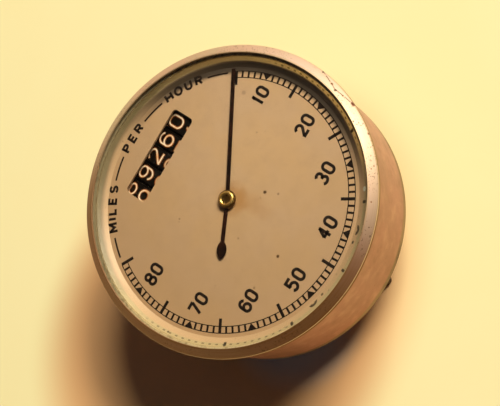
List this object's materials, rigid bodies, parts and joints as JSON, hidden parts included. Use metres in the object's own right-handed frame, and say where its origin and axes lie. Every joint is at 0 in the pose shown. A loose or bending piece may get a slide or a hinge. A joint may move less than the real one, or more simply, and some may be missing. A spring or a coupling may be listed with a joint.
{
  "type": "dashboard speedometer",
  "caption": "Round dashboard speedometer with a bezelled glass, cream dial, sweeping needle and a drum mileage counter in a plain cylindrical case with rear fixing studs.",
  "frame": {"origin": "middle of the instrument, on the plane of the stud ends that it lies on", "axes": "+Z out of the dial towards the reader, +Y towards 12 o'clock on the dial, +X towards 3 o'clock"},
  "size_m": [0.09, 0.09, 0.0503],
  "materials": {
    "case_alloy": "dull drawn aluminium, handled and slightly stained",
    "bezel_nickel": "satin nickel plate, worn and pitted along the edge",
    "seat_nickel": "dull plated ring with brown spots",
    "glass": "clear flat glass",
    "spacer_enamel": "cream stove enamel, spotted brown along its upper edge",
    "dial_paint": "aged cream enamel with black print",
    "needle_paint": "blackened steel",
    "hub_brass": "polished brass",
    "brass": "dull brass",
    "spring_bronze": "bronze ribbon",
    "plain_steel": "turned steel",
    "dark_steel": "oxidised steel",
    "drag_alloy": "spun aluminium",
    "magnet_iron": "ground magnet steel",
    "drum_black": "black lacquer with cream figures"
  },
  "bodies": {
    "case": {"case_shell": "case_alloy", "back_plate": "case_alloy", "back_screws": "plain_steel", "rear_studs": "dark_steel", "drive_boss": "brass", "bezel": "bezel_nickel", "glass_lens": "glass", "glass_seat": "seat_nickel", "spacer_ring": "spacer_enamel", "dial_plate": "dial_paint", "dial_feet": "brass", "front_plate": "brass", "pillars": "brass", "pillar_screws": "plain_steel", "arbor_bush": "brass", "hairspring": "spring_bronze", "hairspring_stud": "brass", "stop_pins": "plain_steel", "spindle_bush": "brass", "gear_frame": "brass", "gear_frame_screws": "plain_steel", "counter_frame": "brass", "counter_frame_screws": "plain_steel", "counter_axle": "plain_steel", "axle_spacers": "brass", "axle_clips": "plain_steel", "pinion_carriers": "brass", "locking_bar": "plain_steel"},
    "needle_set": {"needle": "needle_paint", "needle_hub": "hub_brass", "needle_arbor": "plain_steel", "hairspring_collet": "brass", "stop_arm": "plain_steel", "drag_cup": "drag_alloy"},
    "spindle_set": {"drive_spindle": "plain_steel", "spindle_worm": "plain_steel", "magnet": "magnet_iron", "field_cup": "plain_steel"},
    "cross_set": {"cross_shaft": "plain_steel", "cross_wheel": "brass", "cross_pinion": "brass"},
    "worm_set": {"worm_shaft": "plain_steel", "worm_shaft_gear": "brass", "counter_worm": "plain_steel"},
    "drum_set_1": {"drum_1": "drum_black", "counter_wheel": "brass"},
    "drum_set_2": {"drum_2": "drum_black"},
    "drum_set_3": {"drum_3": "drum_black"},
    "drum_set_4": {"drum_4": "drum_black"},
    "drum_set_5": {"drum_5": "drum_black"},
    "transfer_set_1": {"transfer_pinion_1": "brass"},
    "transfer_set_2": {"transfer_pinion_2": "brass"},
    "transfer_set_3": {"transfer_pinion_3": "brass"},
    "transfer_set_4": {"transfer_pinion_4": "brass"}
  },
  "joints": [
    {"name": "needle_swing", "type": "hinge", "parent": "case", "child": "needle_set", "pos_m": [0, 0, 0.0465], "axis": [0, 0, -1], "range_deg": [0, 240], "stiffness_Nm_per_rad": 0.0001, "springref_deg": -14.9},
    {"name": "spindle_spin", "type": "hinge", "parent": "case", "child": "spindle_set", "pos_m": [0, 0, 0.02], "axis": [0, 0, -1], "continuous": true},
    {"name": "cross_spin", "type": "hinge", "parent": "case", "child": "cross_set", "pos_m": [0.0077, 0, 0.0263], "axis": [0, 1, 0], "continuous": true},
    {"name": "worm_spin", "type": "hinge", "parent": "case", "child": "worm_set", "pos_m": [0.01634, 0.007, 0.0263], "axis": [0, 1, 0], "continuous": true},
    {"name": "drum_spin_1", "type": "hinge", "parent": "case", "child": "drum_set_1", "pos_m": [0.0112, 0.0273, 0.0341], "axis": [1, 0, 0], "continuous": true},
    {"name": "drum_spin_2", "type": "hinge", "parent": "case", "child": "drum_set_2", "pos_m": [0.00535, 0.0273, 0.0341], "axis": [1, 0, 0], "continuous": true},
    {"name": "drum_spin_3", "type": "hinge", "parent": "case", "child": "drum_set_3", "pos_m": [-0.0005, 0.0273, 0.0341], "axis": [1, 0, 0], "continuous": true},
    {"name": "drum_spin_4", "type": "hinge", "parent": "case", "child": "drum_set_4", "pos_m": [-0.00635, 0.0273, 0.0341], "axis": [1, 0, 0], "continuous": true},
    {"name": "drum_spin_5", "type": "hinge", "parent": "case", "child": "drum_set_5", "pos_m": [-0.0122, 0.0273, 0.0341], "axis": [1, 0, 0], "continuous": true},
    {"name": "transfer_spin_1", "type": "hinge", "parent": "case", "child": "transfer_set_1", "pos_m": [0.00827, 0.02286, 0.03203], "axis": [1, 0, 0], "continuous": true},
    {"name": "transfer_spin_2", "type": "hinge", "parent": "case", "child": "transfer_set_2", "pos_m": [0.00243, 0.02286, 0.03203], "axis": [1, 0, 0], "continuous": true},
    {"name": "transfer_spin_3", "type": "hinge", "parent": "case", "child": "transfer_set_3", "pos_m": [-0.00343, 0.02286, 0.03203], "axis": [1, 0, 0], "continuous": true},
    {"name": "transfer_spin_4", "type": "hinge", "parent": "case", "child": "transfer_set_4", "pos_m": [-0.00928, 0.02286, 0.03203], "axis": [1, 0, 0], "continuous": true}
  ],
  "couplings": [
    {"joint": "cross_spin", "follows": "spindle_spin", "ratio": 0.05},
    {"joint": "worm_spin", "follows": "spindle_spin", "ratio": -0.025},
    {"joint": "drum_spin_1", "follows": "spindle_spin", "ratio": -0.0010417},
    {"joint": "drum_spin_2", "follows": "spindle_spin", "ratio": -0.00010417},
    {"joint": "drum_spin_3", "follows": "spindle_spin", "ratio": -0.000010417},
    {"joint": "drum_spin_4", "follows": "spindle_spin", "ratio": -0.0000010417},
    {"joint": "drum_spin_5", "follows": "spindle_spin", "ratio": -0.00000010417},
    {"joint": "transfer_spin_1", "follows": "spindle_spin", "ratio": -0.00034722},
    {"joint": "transfer_spin_2", "follows": "spindle_spin", "ratio": -0.000034722},
    {"joint": "transfer_spin_3", "follows": "spindle_spin", "ratio": -0.0000034722},
    {"joint": "transfer_spin_4", "follows": "spindle_spin", "ratio": -0.00000034722}
  ]
}
